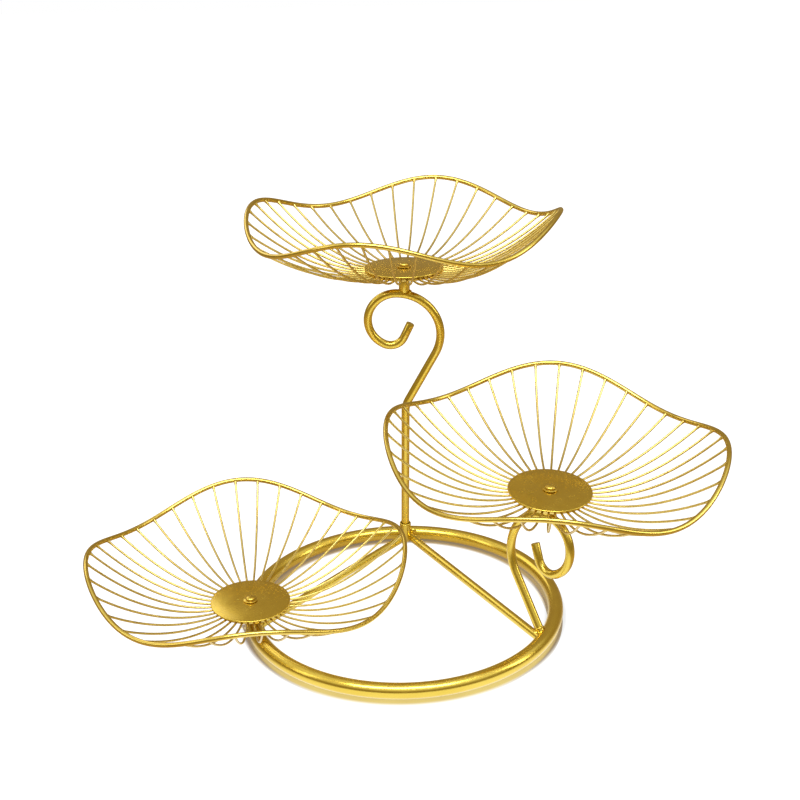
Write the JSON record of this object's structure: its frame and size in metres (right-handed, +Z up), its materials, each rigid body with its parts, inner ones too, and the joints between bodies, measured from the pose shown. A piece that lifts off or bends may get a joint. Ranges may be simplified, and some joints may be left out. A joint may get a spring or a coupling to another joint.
{
  "type": "three-tier fruit basket",
  "caption": "Tiered fruit basket: a round base ring, two scroll stems and wavy wire bowls that each turn on a centre screw.",
  "frame": {"origin": "centre of the whole basket's box, on the table", "axes": "+Z up; +X to the right in the picture, towards the middle bowl; +Y to the back, towards the top bowl"},
  "size_m": [0.5206, 0.424, 0.3367],
  "materials": {
    "ring_gold": "satin gold plating on steel tube",
    "rod_gold": "satin gold plating on steel rod",
    "rim_gold": "glossy gold plating on steel wire",
    "wire_gold": "satin gold plating on steel wire",
    "plate_gold": "glossy gold plating on steel sheet",
    "screw_gold": "gold plating on a steel screw"
  },
  "bodies": {
    "stand": {"base_ring": "ring_gold", "back_socket": "rod_gold", "right_bar": "rod_gold", "left_bar": "rod_gold", "low_boss": "rod_gold", "low_bowl_washer": "screw_gold", "low_bowl_screw": "screw_gold", "middle_stem": "rod_gold", "middle_boss": "rod_gold", "middle_bowl_washer": "screw_gold", "middle_bowl_screw": "screw_gold"},
    "top_stem": {"top_stem": "rod_gold", "top_boss": "rod_gold", "top_bowl_washer": "screw_gold", "top_bowl_screw": "screw_gold"},
    "top_bowl": {"top_bowl_rim": "rim_gold", "top_bowl_wires": "wire_gold", "top_bowl_plate": "plate_gold"},
    "middle_bowl": {"middle_bowl_rim": "rim_gold", "middle_bowl_wires": "wire_gold", "middle_bowl_plate": "plate_gold"},
    "low_bowl": {"low_bowl_rim": "rim_gold", "low_bowl_wires": "wire_gold", "low_bowl_plate": "plate_gold"}
  },
  "joints": [
    {"name": "top_stem_lift", "type": "slide", "parent": "stand", "child": "top_stem", "axis": [0.0209, -0.0828, 0.9964], "range_m": [0, 0.014]},
    {"name": "top_bowl_turn", "type": "hinge", "parent": "top_stem", "child": "top_bowl", "pos_m": [0.00992, 0.07681, 0.27825], "axis": [0.0017, 0.0174, 0.9998], "continuous": true},
    {"name": "middle_bowl_turn", "type": "hinge", "parent": "stand", "child": "middle_bowl", "pos_m": [0.12348, -0.07381, 0.13622], "axis": [0.0452, -0.075, 0.9962], "continuous": true},
    {"name": "low_bowl_turn", "type": "hinge", "parent": "stand", "child": "low_bowl", "pos_m": [-0.12709, -0.04921, 0.0238], "axis": [0.0209, -0.0105, 0.9997], "continuous": true}
  ]
}
